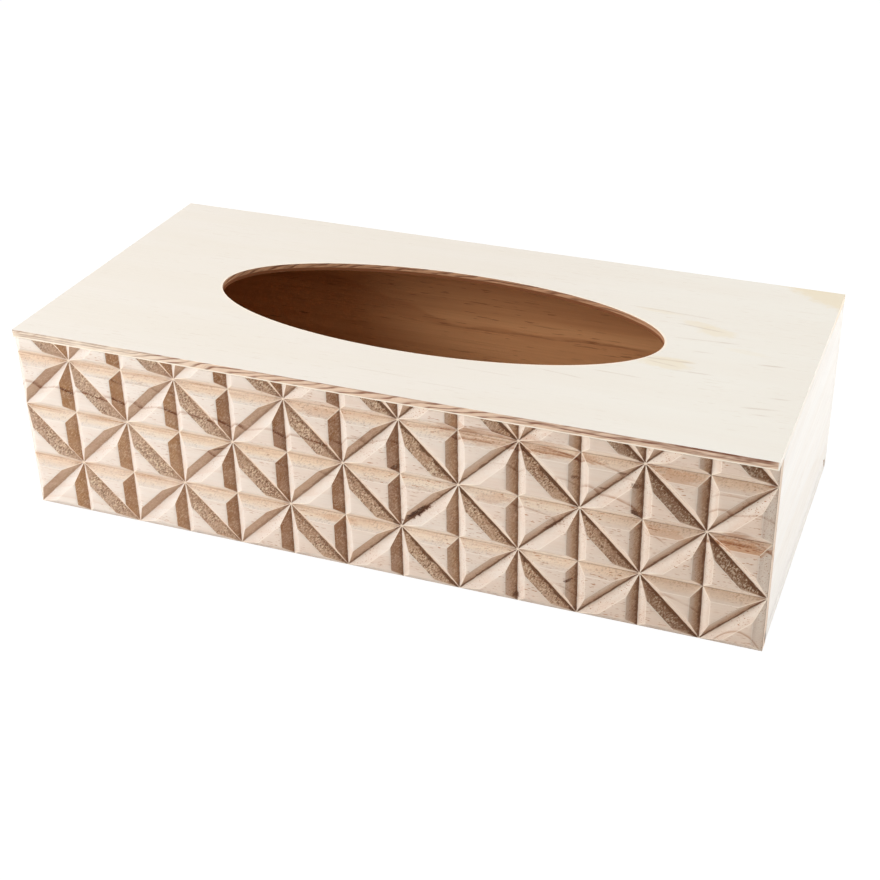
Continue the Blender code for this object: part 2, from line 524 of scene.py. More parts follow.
# Inner faces of the boards: unplaned wood, darker and more orange, partly as painted shade inside the box
SHADED_INNER_PALE = (0.83, 0.45, 0.215)
SHADED_INNER_DEEP = (0.59, 0.265, 0.11)
CUT_MARKS = ("cut", "browned", "torn", "warm", "pale", "ridge", "arris", "depth", "star")
# Patches of other wood in millimetres: x, z, half length, half width, turn in
# degrees; then the strength; dark ones are bark and resin, warm ones latewood
DARK_PATCHES = (
    (16.8, 28, 7.5, 1.4, 41, 1),
    (64.5, 33.4, 4.5, 0.8, 41, 0.8),
    (9.3, 44.6, 1.6, 1, 20, 0.7),
    (52.3, 2.6, 1.5, 1.6, 0, 0.6),
    (71, 14, 1.6, 0.7, 25, 0.7),
    (-57.5, 38.4, 3, 0.5, 8, 0.6),
    (92.6, 44.4, 3, 0.9, -61, 0.75),
    (72.4, 53.6, 2, 0.7, -25, 0.5),
    (92.4, 55, 2, 0.8, -30, 0.5),
    (87.9, 58.4, 1.8, 0.7, -40, 0.5),
    (81.3, 51.5, 1.6, 0.6, -40, 0.5),
)
WARM_PATCHES = (
    (105.5, 60.6, 9, 1.9, 0, 0.45),
    (127, 39, 11, 2.3, -1, 0.75),
    (75.8, 61.6, 5, 1.3, -8, 0.45),
    (44, 40, 8, 1.3, 4, 0.35),
    (102.5, 39, 9, 2.2, -5, 0.4),
    (50, 65, 26, 1.7, -1, 0.35),
    (52, 60.9, 26, 1.2, 0, 0.35),
    (-16, 60.6, 10, 1.2, 0, 0.35),
    (-12, 19.4, 8, 1, 0, 0.4),
)


def growth_line(place, uneven, line, face, dip, tail=0.005):
    """Mask of one growth line: height, slope, bow, middle, width, start, end."""
    height, slope, bow, middle, width, start, end = line
    return place_group(
        GRAIN_LINE,
        Place=place,
        Height=height * MM,
        Slope=slope / 100,
        Bow=bow / 10,
        Middle=middle * MM,
        Dip=dip,
        Face=face,
        Width=width * MM,
        Start=start * MM,
        End=end * MM,
        Tail=tail,
        Wobble=uneven["Wobble"],
        Patchy=uneven["Patchy"],
    )["Mask"]


def patches(place, ragged, places, colour, other, core=1.0):
    """Lay patches of another colour over a colour; a high core shrinks them."""
    for x, z, half_length, half_width, turn, strength in places:
        mask = place_group(
            PATCH,
            Place=place,
            Middle=(x * MM, 0.0, z * MM),
            Turn=math.radians(turn),
            Size=(half_length * MM, 1.0, half_width * MM),
            Ragged=ragged,
        )["Mask"]
        if core != 1.0:
            mask = sums("POWER", mask, core)
        colour = tint(colour, other, times(mask, strength))
    return colour


# Colours of the carved panel, at its left and its right end where two are given
PLANED = ((0.875, 0.785, 0.70), (0.72, 0.587, 0.481))
CLEAN_CUT = ((0.83, 0.765, 0.70), (0.78, 0.68, 0.585))
# Early wood in the level cuts: its colour at the left end, then from where to
# where along the panel it turns to the next colour
WARM_CUT = (0.96, 0.795, 0.625)
WARM_CUT_TURNS = (
    (-0.09, -0.04, (0.925, 0.745, 0.57)),
    (0.0, 0.02, (0.99, 0.86, 0.70)),
    (0.06, 0.10, (0.93, 0.71, 0.52)),
)
PAINTED_LIGHT_CUT = (1.0, 0.93, 0.83)
CUT_STREAK = (0.52, 0.29, 0.15)
PAINTED_SHADE_BROWN = (0.53, 0.272, 0.118)
DEEP_PAINTED_SHADE_BROWN = (0.335, 0.135, 0.042)
BLOTCH = (0.36, 0.16, 0.085)
LATEWOOD = (0.66, 0.42, 0.27)
GRAIN_BAND = (0.80, 0.58, 0.45)
FINE_GRAIN_AND_SHADE = (0.62, 0.42, 0.28)
PAINTED_CUT_SHADE = (0.27, 0.14, 0.08)
PAINTED_STAR_SHADE = (0.30, 0.12, 0.06)
PAINTED_TORN_SHADE = (0.20, 0.10, 0.055)
WARM_PATCH = (0.57, 0.29, 0.14)
FAINT_LINE = (0.60, 0.40, 0.28)
GROWTH_LINE_IN_SHADE = (0.17, 0.05, 0.025)
RESIN_RIM = (0.40, 0.17, 0.08)
RESIN = (0.07, 0.025, 0.012)
FLECK = (0.60, 0.34, 0.19)
PIT = (0.20, 0.095, 0.045)
RAISED_FIBRE = (0.93, 0.77, 0.58)
PAINTED_RIDGE_HIGHLIGHT = (0.97, 0.84, 0.69)
PAINTED_ARRIS_HIGHLIGHT = (0.97, 0.89, 0.78)
PAINTED_VALLEY_SHADE = (0.15, 0.065, 0.03)
STAR_POINT = (0.90, 0.74, 0.60)
# How far a growth line drops for each unit that a cut goes in
GROWTH_DIP = 1.2


def carved_marks(place, streaks):
    """What the mesh says of each cut, and what follows from it."""
    marks = {name: mesh_mark(place, name) for name in CUT_MARKS}
    depth = marks["depth"]
    x = split(place)[0]
    # The wood deepens in two steps on its way to the right
    rightward = plus(fade(x, -0.10, 0.0, 0.0, 0.5), fade(x, 0.02, 0.12, 0.0, 0.5))
    # To the right the walls blend into the planed face instead of stopping
    # at a keen edge: their colour, torn grain and painted shade fade out
    # towards the arris, as painted soft shading
    gentle = times(
        fade(x, -0.02, 0.10, 0.0, 0.85),
        fade(depth, 0.02, 0.75, 1.0, 0.0),
        fade(marks["torn"], 0.4, 0.9, 1.0, 0.25),
    )
    kept = minus(1.0, gentle)
    marks["x"] = x
    marks["rightward"] = rightward
    marks["clean wall"] = times(marks["cut"], kept)
    marks["browned wall"] = times(marks["browned"], kept)
    marks["torn wall"] = times(marks["torn"], kept)
    marks["warm wall"] = times(
        marks["warm"],
        fade(depth, 0.05, 0.60),
        fade(streaks["Bands"], 0.0, 1.0, 0.6, 1.0),
    )
    return marks


def cut_wood(place, marks, streaks):
    """Planed face and cuts, warm by the way a wall faces, with painted light on walls turned to the light
    and painted shade on those turned from it.
    """
    x, depth, rightward = marks["x"], marks["depth"], marks["rightward"]
    warm_turns = ((colour, fade(x, start, end)) for start, end, colour in WARM_CUT_TURNS)
    # Painted light on the walls turned to the light, palest low in the cut
    pale = times(marks["pale"], fade(depth, 0.10, 0.75))
    # Dark streaks along the line of each level cut
    streaky = times(
        sums("POWER", streaks["Streaks"], 1.3),
        fade(depth, 0.45, 0.95),
        marks["warm"],
        grow(rightward, -0.6, 1.0),
    )
    # The painted shade on the walls turned from the light is darkest in the middle of the panel
    middle = times(fade(x, -0.075, -0.045), fade(x, 0.035, 0.005), fade(marks["browned"], 0.76, 0.92))
    browned = marks["browned wall"]
    blotch = fade(cloud(place, (0.014, 0.005, 0.010), detail=3.0), 0.42, 0.72)
    return layers(
        tint(*PLANED, rightward),
        (tint(*CLEAN_CUT, rightward), marks["clean wall"]),
        (layers(WARM_CUT, *warm_turns), marks["warm wall"]),
        (PAINTED_LIGHT_CUT, pale),
        (CUT_STREAK, streaky),
        # Painted shade on the walls turned from the light
        (tint(PAINTED_SHADE_BROWN, DEEP_PAINTED_SHADE_BROWN, middle), browned),
        (BLOTCH, times(blotch, browned, 0.5)),
    )


def panel_grain(place, marks, fibres, colour):
    """Grain over the whole face, and painted shade in the cuts."""
    rightward, browned = marks["rightward"], marks["browned wall"]
    rings = place_group(
        GROWTH_RINGS, Place=place, Pith_Y=0.14, Pith_Z=0.16, Ring_Width=0.0034, Wander=0.012
    )
    # Painted shade low in the cuts, stronger in the darker wood on the right
    shade = times(fade(marks["depth"], 0.3, 1.0), grow(rightward, 0.52, 0.24))
    # Painted shade round the stars, where the cuts meet
    star_shade_mask = times(marks["star"], plus(browned, marks["warm wall"]), grow(rightward, 0.3, 0.55))
    # Painted shade makes the torn walls near the right end the darkest
    torn_shade_mask = times(marks["torn wall"], fade(marks["x"], 0.072, 0.10, 0.0, 0.75))
    return layers(
        colour,
        (LATEWOOD, times(rings["Latewood"], grow(rightward, -0.2, 0.35))),
        (GRAIN_BAND, times(fibres["Bands"], 0.28)),
        (FINE_GRAIN_AND_SHADE, times(fibres["Streaks"], grow(rightward, 0.10, 0.09))),
        (PAINTED_CUT_SHADE, times(shade, browned)),
        (FINE_GRAIN_AND_SHADE, times(shade, 0.25)),
        (PAINTED_STAR_SHADE, star_shade_mask),
        (PAINTED_TORN_SHADE, torn_shade_mask),
    )


def growth_and_resin(place, marks, uneven, face_y, colour):
    """Warm patches, growth lines, resin and flecks of the carved panel."""
    rightward, browned = marks["rightward"], marks["browned wall"]
    ragged = uneven["Ragged"]
    warmer = patches(place, ragged, WARM_PATCHES, colour, WARM_PATCH)
    colour = tint(colour, warmer, fade(marks["cut"], 0.0, 0.5, 0.3, 1.0))
    # The growth lines show least on the planed wood at the left
    shown = grow(largest(browned, rightward), 0.40, 0.62)
    for *shape, strength in PANEL_LINES:
        line = times(growth_line(place, uneven, shape, face_y, GROWTH_DIP), strength)
        colour = tint(colour, FAINT_LINE, times(line, shown), blend="MULTIPLY")
        # Growth lines show darker in the painted shade of the walls turned from the light
        colour = tint(colour, GROWTH_LINE_IN_SHADE, times(line, browned, 0.85))
    colour = patches(place, ragged, DARK_PATCHES, colour, RESIN_RIM)
    colour = patches(place, ragged, DARK_PATCHES, colour, RESIN, core=2.0)
    flecks = place_group(
        FLECKS, Place=place, Fleck_Size=(0.0022, 0.00035, 0.00035), Level=0.64
    )["Flecks"]
    spots = times(flecks, grow(rightward, 0.5, 0.3), 1.6)
    return tint(colour, FLECK, spots, blend="MULTIPLY")


def tears_and_valleys(marks, uneven, tears, colour):
    """Torn fibres, painted highlights on the ridges and arrises, and painted shade at the foot of the
    cuts.
    """
    depth, rightward, browned = marks["depth"], marks["rightward"], marks["browned wall"]
    # Painted shade: a dark line along the bottom of the cuts, widest on the walls turned from the light
    thin = times(fade(depth, 0.93, 0.985), grow(rightward, 0.45, 0.12))
    foot = grow(uneven["Patchy"], 0.22, grow(uneven["Ragged"], 0.18, depth))
    wide = times(fade(foot, 0.86, 1.10), browned, grow(rightward, 0.80, 0.18))
    keen = times(
        fade(foot, 0.94, 1.02),
        browned,
        fade(marks["browned"], 0.93, 0.80, 0.2, 1.0),
        fade(marks["x"], -0.07, 0.02, 0.15, 1.15),
    )
    # The cuts meet in a pale point at each star
    points = fade(marks["star"], 0.78, 0.96)
    return layers(
        colour,
        (PIT, times(tears["Pits"], grow(rightward, 0.45, 0.65))),
        (RAISED_FIBRE, times(tears["Raised"], grow(rightward, -0.35, 0.95))),
        # Painted highlights on the ridges and arrises
        (PAINTED_RIDGE_HIGHLIGHT, times(marks["ridge"], 0.75)),
        (PAINTED_ARRIS_HIGHLIGHT, times(marks["arris"], 0.5)),
        (PAINTED_VALLEY_SHADE, times(largest(thin, wide, keen), minus(1.0, points))),
        (STAR_POINT, times(points, 0.6)),
    )


def carved_pine(low, high, groove_floor):
    """Planed pine with clean and torn cuts; heartwood deepens to the right."""
    material, shader, place = new_wood("carved pine")
    fibres = place_group(FIBRES, Place=place)
    streaks = place_group(
        FIBRES, Place=place, Streak_Size=(0.014, 0.0006, 0.0005), Band_Size=(0.05, 0.004, 0.003)
    )
    uneven = place_group(UNEVENNESS, Place=place)
    marks = carved_marks(place, streaks)
    tears = place_group(TORN_GRAIN, Place=place, Amount=marks["torn wall"])
    colour = cut_wood(place, marks, streaks)
    colour = panel_grain(place, marks, fibres, colour)
    colour = growth_and_resin(place, marks, uneven, low.y, colour)
    colour = tears_and_valleys(marks, uneven, tears, colour)
    # Unplaned rear face and groove, inside the box, partly darkened as painted shade
    rear = place_group(
        INNER_FACES,
        Place=place,
        Low=(low.x + SKIN, groove_floor - SKIN, SKIN),
        High=(high.x - SKIN, high.y + SKIN, high.z - SKIN),
    )["Inside"]
    colour = tint(colour, SHADED_INNER_DEEP, rear)

    height = grow(fibres["Streaks"], 0.08, tears["Height"])
    roughness = grow(marks["cut"], 0.12, 0.62)
    finish_wood(shader, colour, roughness, height, relief=0.0005)
    return material


# Dark lines on the front edge of the top: height as a share of the board,
# slope in mm per 100 mm, width, start and end in millimetres; the strength
PLY_LINES = (
    (0.84, 0, 0.3, -140, -66, 0.55),
    (0.5, 0.2, 0.26, -136, -84, 0.5),
    (0.28, -0.4, 0.24, -136, -108, 0.45),
    (0.9, 0, 0.2, -44, 34, 0.5),
    (0.62, -1, 0.24, 44, 66, 0.8),
    (0.88, 0.1, 0.26, 46, 84, 0.35),
    (0.55, -2, 0.26, 62, 90, 0.95),
    (0.45, 5, 0.26, 84, 104, 0.95),
    (0.9, -0.6, 0.26, 70, 112, 0.55),
    (0.62, -1.2, 0.22, 84, 116, 0.6),
    (0.88, -0.1, 0.6, 100, 137.5, 1),
    (0.6, 0.4, 0.5, 120, 137.5, 0.9),
    (0.36, -0.3, 0.24, 96, 132, 0.7),
)
# Tan wood on the top in millimetres, as the patches of the carved panel: over
# the back corner at the right, and faint ones beside the slot
TOP_PATCHES = (
    (135, 58.5, 31, 9, -30, 0.75),
    (124, 63, 10, 4, 0, 0.4),
    (87, -12, 10, 4, -6, 0.55),
    (90, -8.5, 8, 1.6, -2, 0.5),
    (76, 27, 9, 1.6, -4, 0.3),
    (99, 17, 8, 3.8, -6, 0.5),
    (92, 21, 7, 2.4, -6, 0.42),
    (112, 5, 9, 1.8, -6, 0.18),
)
# Thin grey-brown grain on the top: place from front to back and the rest as
# the growth lines of the carved panel
TOP_LINES = (
    (27.3, -5.6, 0, 80, 0.3, 64, 98, 0.45),
    (18.5, -12, 0, 92, 0.3, 83, 103, 0.45),
    (9, 7, 0, 97, 0.3, 85, 110, 0.5),
    (0, 8, 0, 98, 0.25, 93, 103, 0.35),
    (-2.4, 12, 0, 122, 0.35, 116, 128, 0.5),
    (-9.5, 5, 0, 88, 0.35, 78, 99, 0.55),
    (-12.4, -15, 0, 87, 0.3, 80, 94, 0.45),
    (-15.7, 4, 0, 97, 0.3, 89, 106, 0.4),
    (-24.6, 8, 0, 128.5, 0.3, 124, 134, 0.4),
    (-24.7, -3.3, 0, 74, 0.25, 65, 84, 0.4),
    (-33, 15, 0, 124, 0.35, 117, 131, 0.45),
    (-37, 8, 0, 125.5, 0.3, 121, 130, 0.4),
    (-31, -12, 0, 58, 0.25, 48, 66, 0.4),
    (-50, -2, 0, 2, 0.25, -14, 14, 0.22),
    (-52, 1, 0, 20, 0.25, 12, 34, 0.2),
    (-38, -2, 0, 30, 0.25, 20, 44, 0.18),
)


# Colours of the veneer, light and dark, at the left and at the right end
LEFT_VENEER = ((0.875, 0.815, 0.735), (0.865, 0.80, 0.71))
RIGHT_VENEER = ((0.90, 0.86, 0.78), (0.89, 0.84, 0.755))
VENEER_STREAK = (0.78, 0.69, 0.58)
VENEER_FLECK = (0.60, 0.46, 0.33)
VENEER_TAN = (0.86, 0.75, 0.56)
VENEER_LINE = (0.55, 0.43, 0.32)
PAINTED_SLOT_HIGHLIGHT = (1.0, 0.89, 0.74)
# Colours of the sawn edges; where two are given, those of outer edge and slot
LEFT_CORE = (0.92, 0.79, 0.64)
RIGHT_CORE = (0.79, 0.58, 0.43)
SLOT_CORE = (0.66, 0.37, 0.21)
LOWER_VENEER = ((0.97, 0.86, 0.72), (0.24, 0.085, 0.03))
UPPER_VENEER = (0.98, 0.90, 0.80)
FINE_STROKE = ((0.50, 0.29, 0.17), (0.28, 0.12, 0.06))
STROKE = (0.23, 0.085, 0.04)
EDGE_LINE = (0.20, 0.07, 0.035)
# Pale right end, at its front and at its back
PALE_RIGHT_END = ((0.93, 0.87, 0.79), (0.93, 0.80, 0.64))


def top_face(place, axes, fibres, uneven):
    """Pale sanded veneer with tan patches and thin grain."""
    flecks = place_group(
        FLECKS, Place=place, Fleck_Size=(0.006, 0.0005, 0.0005), Patch_Size=(0.035, 0.02, 0.02)
    )["Flecks"]
    colour = layers(
        tint(*LEFT_VENEER, fibres["Bands"]),
        (tint(*RIGHT_VENEER, fibres["Bands"]), fade(axes[0], 0.0, 0.12)),
        (VENEER_STREAK, times(fibres["Streaks"], 0.06)),
        (VENEER_FLECK, times(flecks, 0.2)),
    )
    # The patches are laid out on X and Z, so the top is turned up to meet them
    upright = join(axes[0], z=axes[1])
    soft = times(uneven["Ragged"], 0.4)
    colour = patches(upright, soft, TOP_PATCHES, colour, VENEER_TAN)
    for *shape, strength in TOP_LINES:
        line = growth_line(upright, uneven, shape, 0.0, 0.0)
        colour = tint(colour, VENEER_LINE, times(line, strength))
    return colour


def sawn_edges(place, axes, uneven, rim, low, high):
    """Core and veneers on the sawn edges; gives colour and heavy strokes."""
    plies = place_group(PLY_EDGE, Place=place, Bottom=low.z, Thickness=high.z - low.z)
    core = times(fade(grow(rim, -0.26, plies["Level"]), 0.12, 0.20), fade(plies["Level"], 0.99, 0.93))
    core_wood = layers(LEFT_CORE, (RIGHT_CORE, fade(axes[0], -0.11, -0.04)), (SLOT_CORE, rim))
    fine = times(plies["Fine Strokes"], grow(rim, 0.35, 0.45), core)
    # Few strokes near the ends of the front edge, most in its left half
    where = times(fade(axes[0], -0.100, -0.070, 0.12, 1.0), fade(axes[0], 0.05, 0.08, 1.0, 0.5))
    strokes = times(plies["Strokes"], core, largest(where, rim))
    # The right end is pale, a little more orange towards the back
    sanded = tint(*PALE_RIGHT_END, fade(axes[1], 0.02, 0.06))
    sawn = layers(
        tint(*LOWER_VENEER, rim),
        (core_wood, core),
        (UPPER_VENEER, fade(plies["Level"], 0.93, 0.97)),
        (tint(*FINE_STROKE, rim), fine),
        (STROKE, strokes),
        (sanded, fade(axes[0], high.x - 0.0005, high.x - 0.0003)),
    )
    on_front = fade(axes[1], low.y + 0.0004, low.y + 0.0003)
    for level, slope, width, start, end, strength in PLY_LINES:
        height = (low.z + (high.z - low.z) * level) / MM
        shape = (height, slope, 0.0, start, width, start, end)
        line = growth_line(place, uneven, shape, low.y, 0.0)
        sawn = tint(sawn, EDGE_LINE, times(line, on_front, strength))
    return sawn, strokes


def top_plywood(low, high):
    """Pale sanded face veneer, with the core showing on the sawn edges."""
    material, shader, place = new_wood("top plywood")
    facing = put(place.id_data, "ShaderNodeNewGeometry").outputs["True Normal"]
    edge = fade(sums("ABSOLUTE", split(facing)[2]), 0.85, 0.35)
    rim = mesh_mark(place, "rim")
    axes = split(place)
    fibres = place_group(
        FIBRES, Place=place, Streak_Size=(0.03, 0.0012, 0.0012), Band_Size=(0.09, 0.012, 0.012)
    )
    uneven = place_group(UNEVENNESS, Place=place, Stray=0.0005)
    colour = top_face(place, axes, fibres, uneven)
    sawn, strokes = sawn_edges(place, axes, uneven, rim, low, high)
    # Painted highlight along the arris of the slot, a shade lighter than the face
    arris = fade(rim, 0.982, 0.993, 0.0, 0.8)
    colour = layers(colour, (PAINTED_SLOT_HIGHLIGHT, arris), (sawn, edge))
    height = grow(strokes, -0.4, times(fibres["Streaks"], 0.1))
    roughness = grow(edge, 0.2, 0.55)
    finish_wood(shader, colour, roughness, height, relief=0.0003)
    return material


# Dark grain inside the back board in millimetres, as the growth lines above
INNER_LINES = (
    (38, 3, 0, 0, 0.4, -30, 70, 0.55),
    (27, 2, 0, -10, 0.25, -24, 0, 0.6),
    (30.6, 0, 0, 50, 0.3, 40, 80, 0.6),
    (43.5, 1, 0, 24, 0.25, 12, 36, 0.6),
    (49.5, 0, 0, 44, 0.25, 36, 54, 0.6),
    (25.5, 0, 0, 24, 0.3, 14, 40, 0.65),
    (39, -1, 0, -84, 0.3, -96, -62, 0.35),
)


# Colours that darken the plain boards where they are multiplied in: painted shade inside, and dark grain
PAINTED_INNER_SHADE = (0.5, 0.4, 0.32)
DARK_GRAIN = (0.5, 0.4, 0.35)


def plain_pine(name, pale, deep, pith, ring_width, inner_faces, lines=(), crosswise=False):
    """Planed pine board, grain along X or crosswise along Y, unplaned inside, where it is darker partly
    as painted shade.
    """
    material, shader, place = new_wood(name)
    inner_low, inner_high = inner_faces
    inner = place_group(INNER_FACES, Place=place, Low=inner_low, High=inner_high)["Inside"]
    axes = split(place)
    # Painted shade: the inner faces darken towards the top and the right end
    shade = largest(fade(axes[2], 0.036, 0.056, 0.0, 0.65), fade(axes[0], 0.050, 0.085, 0.0, 0.35))
    shade = times(inner, shade)
    pale = tint(tint(pale, SHADED_INNER_PALE, inner), PAINTED_INNER_SHADE, shade, blend="MULTIPLY")
    deep = tint(tint(deep, SHADED_INNER_DEEP, inner), PAINTED_INNER_SHADE, shade, blend="MULTIPLY")
    grain = join(axes[1], axes[0], axes[2]) if crosswise else place
    rings = place_group(
        GROWTH_RINGS, Place=grain, Pith_Y=pith[0], Pith_Z=pith[1], Ring_Width=ring_width,
        Wander=0.02
    )
    fibres = place_group(FIBRES, Place=grain)
    flecks = place_group(FLECKS, Place=grain, Fleck_Size=(0.009, 0.0006, 0.0006), Level=0.65)["Flecks"]
    uneven = place_group(UNEVENNESS, Place=place, Stray=0.002)
    dark = tint(deep, DARK_GRAIN, 1.0, blend="MULTIPLY")
    colour = layers(
        pale,
        (deep, times(fibres["Bands"], 0.5)),
        (deep, rings["Latewood"]),
        (dark, times(fibres["Streaks"], 0.12)),
        (dark, times(flecks, grow(inner, 0.4, 0.15))),
    )
    for *shape, strength in lines:
        line = growth_line(place, uneven, shape, 0.0, 0.0, tail=0.015)
        colour = tint(colour, dark, times(line, inner, strength))
    height = times(fibres["Streaks"], 0.1)
    roughness = grow(fibres["Streaks"], 0.1, 0.58)
    finish_wood(shader, colour, roughness, height, relief=0.0004)
    return material


# Carved front


def facing(middle, corner_a, corner_b):
    """Way that a wall faces, as the signs of its x and z."""
    along = (corner_b - corner_a).normalized()
    outward = Vector((along.y, -along.x))
    if outward.dot(middle - corner_a) > 0:
        outward.negate()
    return tuple(round(v) if abs(v) > 0.5 else 0 for v in outward)


def incentre(corners):
    """Centre and radius of the circle inside a triangle."""
    a, b, c = corners
    far_sides = ((b - c).length, (c - a).length, (a - b).length)
    around = sum(far_sides)
    middle = (a * far_sides[0] + b * far_sides[1] + c * far_sides[2]) / around
    area = abs((b - a).x * (c - a).y - (b - a).y * (c - a).x) / 2
    return middle, 2 * area / around


def side_shares():
    """Places along one side of a triangle, close together at its corners."""
    inner = [step / SIDE_STEPS for step in range(1, SIDE_STEPS)]
    far_end = [1 - share for share in reversed(RIDGE_SHARES)]
    return [0.0, *RIDGE_SHARES, *inner, *far_end]


def lattice_triangles(left, pitch, rows):
    """Corners of the two triangles of every cell and its two stars, as (x, z)."""
    def node(column, row):
        return Vector((left + column * pitch, row * ROW_PITCH))

    for column in range(COLUMNS):
        for row in range(rows):
            low_left, low_right = node(column, row), node(column + 1, row)
            high_left, high_right = node(column, row + 1), node(column + 1, row + 1)
            if (column + row) % 2 == 0:
                stars = (low_left, high_right)
                yield [low_left, low_right, high_right], stars
                yield [low_left, high_right, high_left], stars
            else:
                stars = (low_right, high_left)
                yield [low_left, low_right, high_left], stars
                yield [low_right, high_right, high_left], stars


def tear(x, z, torn):
    """How far torn grain stands in or out of a cut wall, in metres."""
    place = Vector((x / TEAR_SIZE[0], 7.0, z / TEAR_SIZE[1]))
    return TEAR_DEPTH * torn * noise.fractal(place, *TEAR_FRACTAL)


def wall_window(distance):
    """1 inside the wall of a cut, fading to 0 at its valley and arris."""
    share = distance / CUT_HALF_WIDTH
    return math.sqrt(math.sin(math.pi * share)) if 0 < share < 1 else 0.0


def arris_chip(x, z, distance):
    """Small knocks along the arris, as a depth."""
    if abs(distance / CUT_HALF_WIDTH - 1) > CHIP_BAND:
        return 0.0
    return ARRIS_CHIP * max(0.0, noise.noise(Vector((x / CHIP_SIZE, 3.0, z / CHIP_SIZE))))


def wall_finishes(corners, middle, open_end_x):
    """Finish of the three walls round a triangle."""
    finishes = []
    for start, end in zip(corners, corners[1:] + corners[:1]):
        finish = WALL_FINISH_SHARES[facing(middle, start, end)]
        if min(start.x, end.x) > open_end_x - CUT_HALF_WIDTH:
            finish = OPEN_END_FINISH_SHARES
        if max(start.y, end.y) < CUT_HALF_WIDTH:
            finish = LOWER_EDGE_FINISH_SHARES
        finishes.append(finish)
    return finishes


def carve_triangle(shape, marks, corners, stars, face_y, open_end_x):
    """Rings of points from the valleys of three cuts up to the plateau."""
    middle, radius = incentre(corners)
    rings = [(share * CUT_HALF_WIDTH, depth * CUT_DEPTH) for share, depth in CUT_PROFILE_SHARES]
    rings.append(((rings[-1][0] + radius) / 2, 0.0))
    shares = side_shares()
    finishes = wall_finishes(corners, middle, open_end_x)
    loops = []
    for distance, depth in rings:
        loop = []
        in_cut = 1.0 if distance < CUT_HALF_WIDTH else 0.0
        on_arris = 1.0 if distance == CUT_HALF_WIDTH else 0.0
        for side, (painted_shade_left, painted_shade_right, torn, warm, pale) in enumerate(finishes):
            start, end = corners[side], corners[(side + 1) % 3]
            for share in shares:
                outer = start.lerp(end, share)
                spot = middle + (outer - middle) * (1 - distance / radius)
                corner_share = min(share, 1 - share)
                from_ridge = min(1.0, corner_share / RIDGE_FADE)
                y = face_y + depth + arris_chip(spot.x, spot.y, distance)
                y += tear(spot.x, spot.y, torn) * wall_window(distance) * from_ridge
                vertex = shape.verts.new((spot.x, y, spot.y))
                on_ridge = in_cut if corner_share < RIDGE_SHARES[1] else 0.0
                vertex[marks["cut"]] = in_cut
                rightward = spot.x / open_end_x / 2 + 0.5
                # Painted shade for walls turned from the light, and painted light, the pale mark, for
                # walls turned to it
                browned = painted_shade_left + (painted_shade_right - painted_shade_left) * rightward
                vertex[marks["browned"]] = browned * in_cut
                vertex[marks["warm"]] = warm * in_cut
                vertex[marks["pale"]] = pale * in_cut * rightward ** 2
                from_star = min((spot - star).length for star in stars)
                vertex[marks["star"]] = max(0.0, 1 - from_star / STAR_REACH) * in_cut
                vertex[marks["torn"]] = torn * in_cut * from_ridge
                vertex[marks["ridge"]] = on_ridge
                vertex[marks["arris"]] = on_arris
                vertex[marks["depth"]] = depth / CUT_DEPTH
                loop.append(vertex)
        loops.append(loop)
    centre = shape.verts.new((middle.x, face_y, middle.y))
    count = len(loops[0])
    for outer, inner in zip(loops, loops[1:]):
        for i in range(count):
            j = (i + 1) % count
            shape.faces.new((outer[i], outer[j], inner[j], inner[i])).smooth = True
    for i in range(count):
        shape.faces.new((loops[-1][i], loops[-1][(i + 1) % count], centre)).smooth = True


def carved_front():
    """Closed solid of the front panel, with the carved face and the groove."""
    low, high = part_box("front_panel")
    # Glue fills the gap between the panel and the top
    high = high + Vector((0, 0, GLUE_LINE))
    groove_low, groove_high, groove_floor = runner_groove(high.y)
    pitch = (high.x - low.x) / COLUMNS
    rows = math.ceil(high.z / ROW_PITCH)
    shape = bmesh.new()
    for name in CUT_MARKS:
        shape.verts.layers.float.new(name)
    marks = {name: shape.verts.layers.float[name] for name in CUT_MARKS}
    for corners, stars in lattice_triangles(low.x, pitch, rows):
        if min(c.y for c in corners) < high.z:
            carve_triangle(shape, marks, corners, stars, low.y, high.x)
    bmesh.ops.remove_doubles(shape, verts=shape.verts, dist=CARVING_WELD)
    everything = shape.verts[:] + shape.edges[:] + shape.faces[:]
    bmesh.ops.bisect_plane(
        shape, geom=everything, plane_co=(0, 0, high.z), plane_no=(0, 0, 1), clear_outer=True
    )
    close_behind(shape, low, high, groove_low, groove_high, groove_floor)
    material = carved_pine(low, high, groove_floor)
    return add_piece("carved_front_board", shape, material, smooth=None)


def runner_groove(rear_y):
    """Heights of the base's groove and the place of its floor."""
    base_low, base_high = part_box("sliding_base")
    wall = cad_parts["front_panel"].data.vertices
    inside = [v.co for v in wall if base_low.y - MM < v.co.y < rear_y - MM]
    heights = [co.z for co in inside if co.z < base_high.z + 2 * MM]
    return min(heights), max(heights), min(co.y for co in inside if co.z in heights)


